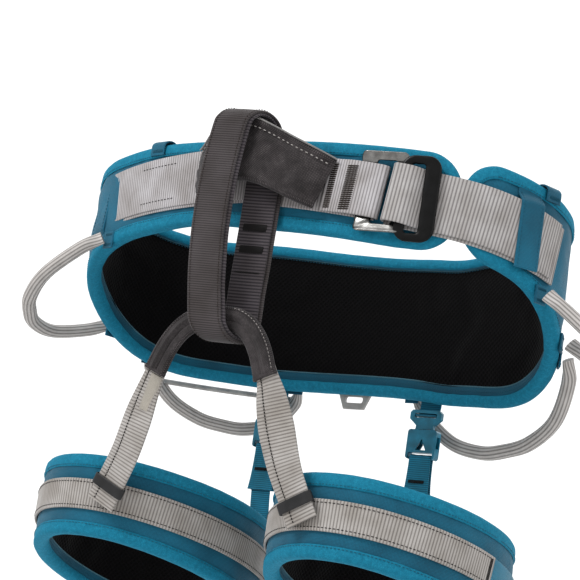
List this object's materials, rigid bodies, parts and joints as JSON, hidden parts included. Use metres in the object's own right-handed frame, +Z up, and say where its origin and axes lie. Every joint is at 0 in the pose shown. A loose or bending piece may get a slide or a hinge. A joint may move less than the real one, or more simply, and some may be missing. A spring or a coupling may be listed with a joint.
{
  "type": "climbing harness",
  "caption": "Sport climbing harness: padded waist belt with a double-back buckle, tie-in points, belay loop, gear loops and padded leg loops on elastic risers.",
  "frame": {"origin": "the middle of the waist opening", "axes": "+Z up the wearer's body, -Y towards the wearer's front, +X towards the wearer's left"},
  "size_m": [0.4926, 0.2643, 0.3678],
  "materials": {
    "teal_fabric": "woven",
    "teal_binding": "brushed tape",
    "black_mesh": "spacer mesh",
    "foam": "closed-cell foam, hidden",
    "grey_webbing": "ribbed webbing",
    "charcoal_webbing": "woven",
    "black_thread": "zigzag stitching",
    "steel": "polished edges",
    "black_metal": "black anodised",
    "grey_plastic": "moulded",
    "teal_plastic": "moulded",
    "beige_label": "plain sewn label",
    "black_plastic": "moulded"
  },
  "bodies": {
    "waist_belt": {"waist_lining": "black_mesh", "waist_foam": "foam", "waist_cover": "teal_fabric", "waist_binding": "teal_binding", "webbing_fixed": "grey_webbing", "webbing_front": "grey_webbing", "buckle_webbing": "grey_webbing", "webbing_load": "grey_webbing", "webbing_tail": "grey_webbing", "keeper_right": "teal_binding", "keeper_left": "teal_binding", "edge_loop_right": "teal_binding", "edge_loop_left": "teal_binding", "steel_frame": "steel", "upper_tie_in": "charcoal_webbing", "gear_loop_anchors": "teal_binding", "riser_tab_left": "teal_binding", "clip_male_left": "teal_plastic", "riser_tab_right": "teal_binding", "clip_male_right": "teal_plastic"},
    "buckle_frame": {"black_frame": "black_metal"},
    "belay_loop": {"belay_loop": "charcoal_webbing", "belay_loop_bartacks": "black_thread", "lower_tie_in": "charcoal_webbing"},
    "haul_loop": {"haul_loop": "grey_plastic"},
    "gear_loop_front_right": {"gear_loop_front_right": "grey_plastic"},
    "gear_loop_rear_right": {"gear_loop_rear_right": "grey_plastic", "gear_bar_rear_right": "grey_plastic"},
    "gear_loop_rear_left": {"gear_loop_rear_left": "grey_plastic"},
    "gear_loop_front_left": {"gear_loop_front_left": "grey_plastic"},
    "leg_left": {"leg_lining_left": "black_mesh", "leg_foam_left": "foam", "leg_cover_left": "teal_fabric", "leg_binding_left": "teal_binding", "leg_webbing_left": "grey_webbing", "leg_elastic_left": "teal_binding", "leg_strap_left": "grey_webbing", "leg_keeper_left": "black_plastic", "riser_elastic_left": "teal_binding"},
    "clip_left": {"clip_female_left": "teal_plastic", "riser_fold_left": "teal_binding"},
    "leg_right": {"leg_lining_right": "black_mesh", "leg_foam_right": "foam", "leg_cover_right": "teal_fabric", "leg_binding_right": "teal_binding", "leg_webbing_right": "grey_webbing", "leg_elastic_right": "teal_binding", "leg_strap_right": "grey_webbing", "leg_keeper_right": "black_plastic", "riser_elastic_right": "teal_binding", "care_label": "beige_label"},
    "clip_right": {"clip_female_right": "teal_plastic", "riser_fold_right": "teal_binding"}
  },
  "joints": [
    {"name": "belay_loop_swing", "type": "hinge", "parent": "waist_belt", "child": "belay_loop", "pos_m": [0, -0.12375, 0.0697], "axis": [-1, 0, 0], "range_deg": [0, 6]},
    {"name": "leg_left_swing", "type": "hinge", "parent": "waist_belt", "child": "leg_left", "pos_m": [0.098, -0.1227, -0.11], "axis": [-1, 0, 0], "range_deg": [-3, 8], "deforming": ["riser_elastic_left"]},
    {"name": "clip_left_release", "type": "slide", "parent": "waist_belt", "child": "clip_left", "axis": [0, 0, -1], "range_m": [0, 0.014]},
    {"name": "leg_right_swing", "type": "hinge", "parent": "waist_belt", "child": "leg_right", "pos_m": [-0.108, -0.1227, -0.11], "axis": [-1, 0, 0], "range_deg": [-3, 8], "deforming": ["riser_elastic_right"]},
    {"name": "clip_right_release", "type": "slide", "parent": "waist_belt", "child": "clip_right", "axis": [0, 0, -1], "range_m": [0, 0.014]},
    {"name": "gear_loop_front_right_lift", "type": "hinge", "parent": "waist_belt", "child": "gear_loop_front_right", "pos_m": [-0.17472, -0.03267, -0.02335], "axis": [-0.4568, 0.8071, -0.3741], "range_deg": [-4, 22]},
    {"name": "gear_loop_rear_right_lift", "type": "hinge", "parent": "waist_belt", "child": "gear_loop_rear_right", "pos_m": [-0.12662, 0.07851, -0.07489], "axis": [0.912, 0.3721, -0.1725], "range_deg": [-4, 25]},
    {"name": "gear_loop_rear_left_lift", "type": "hinge", "parent": "waist_belt", "child": "gear_loop_rear_left", "pos_m": [0.1158, 0.0759, -0.07368], "axis": [0.9162, -0.3635, 0.1685], "range_deg": [-4, 25]},
    {"name": "gear_loop_front_left_lift", "type": "hinge", "parent": "waist_belt", "child": "gear_loop_front_left", "pos_m": [0.20119, 0.00344, -0.04009], "axis": [0.037, -0.9066, 0.4203], "range_deg": [-4, 22]},
    {"name": "haul_loop_lift", "type": "hinge", "parent": "waist_belt", "child": "haul_loop", "pos_m": [-0.014, 0.1029, -0.064], "axis": [1, 0, 0], "range_deg": [0, 35]},
    {"name": "buckle_frame_tilt", "type": "hinge", "parent": "waist_belt", "child": "buckle_frame", "pos_m": [0.11344, -0.09355, 0.029], "axis": [0, 0, 1], "range_deg": [-6, 0]}
  ]
}
